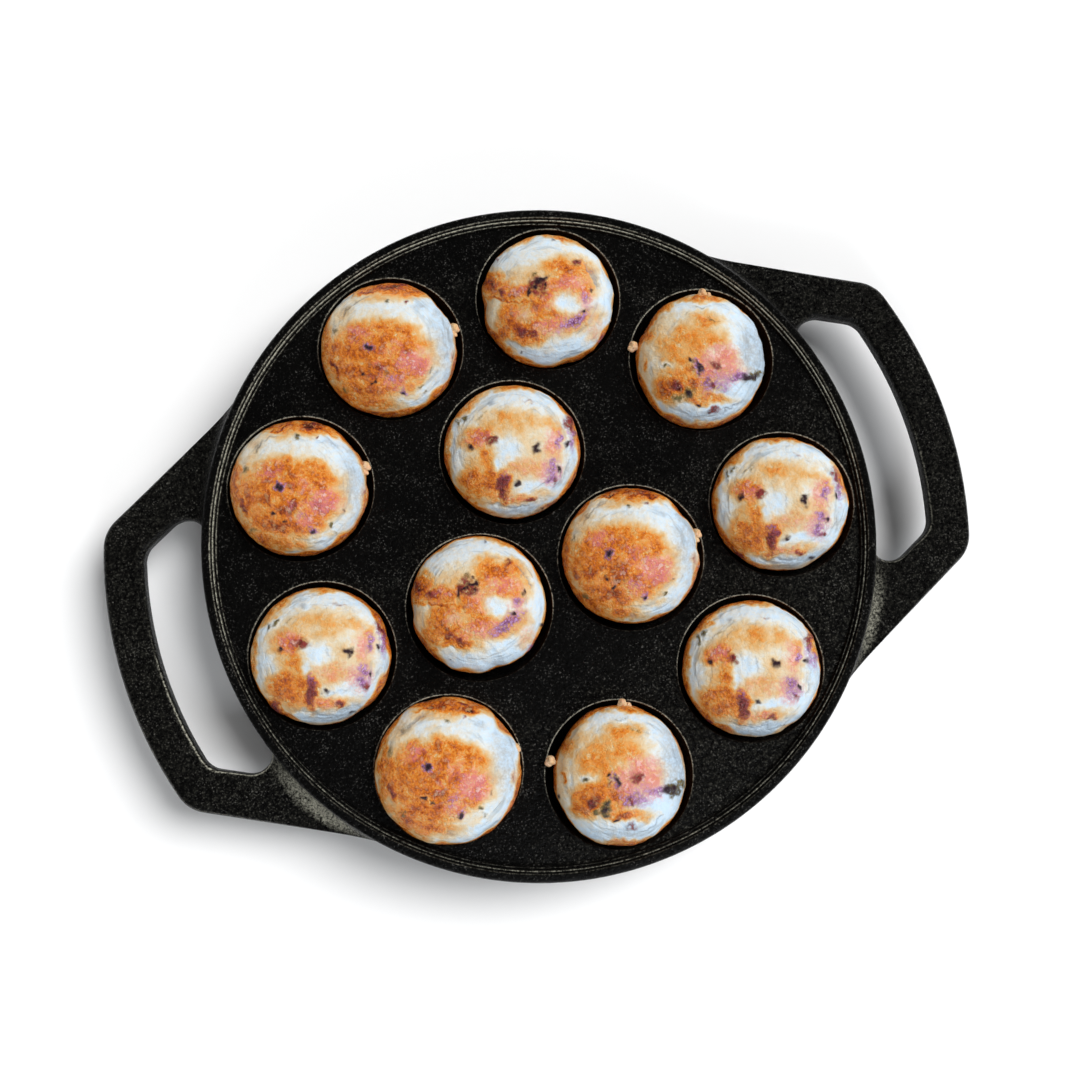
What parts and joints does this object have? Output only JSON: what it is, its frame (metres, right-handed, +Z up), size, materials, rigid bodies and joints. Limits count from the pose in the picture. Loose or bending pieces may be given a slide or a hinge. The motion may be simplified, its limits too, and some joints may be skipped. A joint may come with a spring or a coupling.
{
  "type": "paniyaram pan",
  "caption": "Round cast-iron pan with rings of ball-shaped pits, a raised rim and flat loop handles, filled with golden-brown paniyarams that lift out.",
  "frame": {"origin": "under the middle of the pan, on the plane of its flat feet", "axes": "+X along the handles, +Y to the back of the pan, +Z up out of the pits"},
  "size_m": [0.3022, 0.2306, 0.0408],
  "materials": {
    "cast_iron": "satin",
    "paniyaram": "matte"
  },
  "bodies": {
    "pan": {"rim_skirt": "cast_iron", "deck_plate": "cast_iron", "pit_shell_outer_1": "cast_iron", "pit_shell_outer_2": "cast_iron", "pit_shell_outer_3": "cast_iron", "pit_shell_outer_4": "cast_iron", "pit_shell_outer_5": "cast_iron", "pit_shell_outer_6": "cast_iron", "pit_shell_outer_7": "cast_iron", "pit_shell_outer_8": "cast_iron", "pit_shell_outer_9": "cast_iron", "pit_shell_inner_1": "cast_iron", "pit_shell_inner_2": "cast_iron", "pit_shell_inner_3": "cast_iron", "handle_right": "cast_iron", "handle_left": "cast_iron"},
    "paniyaram_outer_1": {"paniyaram_outer_1": "paniyaram"},
    "paniyaram_outer_2": {"paniyaram_outer_2": "paniyaram"},
    "paniyaram_outer_3": {"paniyaram_outer_3": "paniyaram"},
    "paniyaram_outer_4": {"paniyaram_outer_4": "paniyaram"},
    "paniyaram_outer_5": {"paniyaram_outer_5": "paniyaram"},
    "paniyaram_outer_6": {"paniyaram_outer_6": "paniyaram"},
    "paniyaram_outer_7": {"paniyaram_outer_7": "paniyaram"},
    "paniyaram_outer_8": {"paniyaram_outer_8": "paniyaram"},
    "paniyaram_outer_9": {"paniyaram_outer_9": "paniyaram"},
    "paniyaram_inner_1": {"paniyaram_inner_1": "paniyaram"},
    "paniyaram_inner_2": {"paniyaram_inner_2": "paniyaram"},
    "paniyaram_inner_3": {"paniyaram_inner_3": "paniyaram"}
  },
  "joints": [
    {"name": "lift_outer_1", "type": "slide", "parent": "pan", "child": "paniyaram_outer_1", "axis": [0, 0, 1], "range_m": [0, 0.06]},
    {"name": "lift_outer_2", "type": "slide", "parent": "pan", "child": "paniyaram_outer_2", "axis": [0, 0, 1], "range_m": [0, 0.06]},
    {"name": "lift_outer_3", "type": "slide", "parent": "pan", "child": "paniyaram_outer_3", "axis": [0, 0, 1], "range_m": [0, 0.06]},
    {"name": "lift_outer_4", "type": "slide", "parent": "pan", "child": "paniyaram_outer_4", "axis": [0, 0, 1], "range_m": [0, 0.06]},
    {"name": "lift_outer_5", "type": "slide", "parent": "pan", "child": "paniyaram_outer_5", "axis": [0, 0, 1], "range_m": [0, 0.06]},
    {"name": "lift_outer_6", "type": "slide", "parent": "pan", "child": "paniyaram_outer_6", "axis": [0, 0, 1], "range_m": [0, 0.06]},
    {"name": "lift_outer_7", "type": "slide", "parent": "pan", "child": "paniyaram_outer_7", "axis": [0, 0, 1], "range_m": [0, 0.06]},
    {"name": "lift_outer_8", "type": "slide", "parent": "pan", "child": "paniyaram_outer_8", "axis": [0, 0, 1], "range_m": [0, 0.06]},
    {"name": "lift_outer_9", "type": "slide", "parent": "pan", "child": "paniyaram_outer_9", "axis": [0, 0, 1], "range_m": [0, 0.06]},
    {"name": "lift_inner_1", "type": "slide", "parent": "pan", "child": "paniyaram_inner_1", "axis": [0, 0, 1], "range_m": [0, 0.06]},
    {"name": "lift_inner_2", "type": "slide", "parent": "pan", "child": "paniyaram_inner_2", "axis": [0, 0, 1], "range_m": [0, 0.06]},
    {"name": "lift_inner_3", "type": "slide", "parent": "pan", "child": "paniyaram_inner_3", "axis": [0, 0, 1], "range_m": [0, 0.06]}
  ]
}
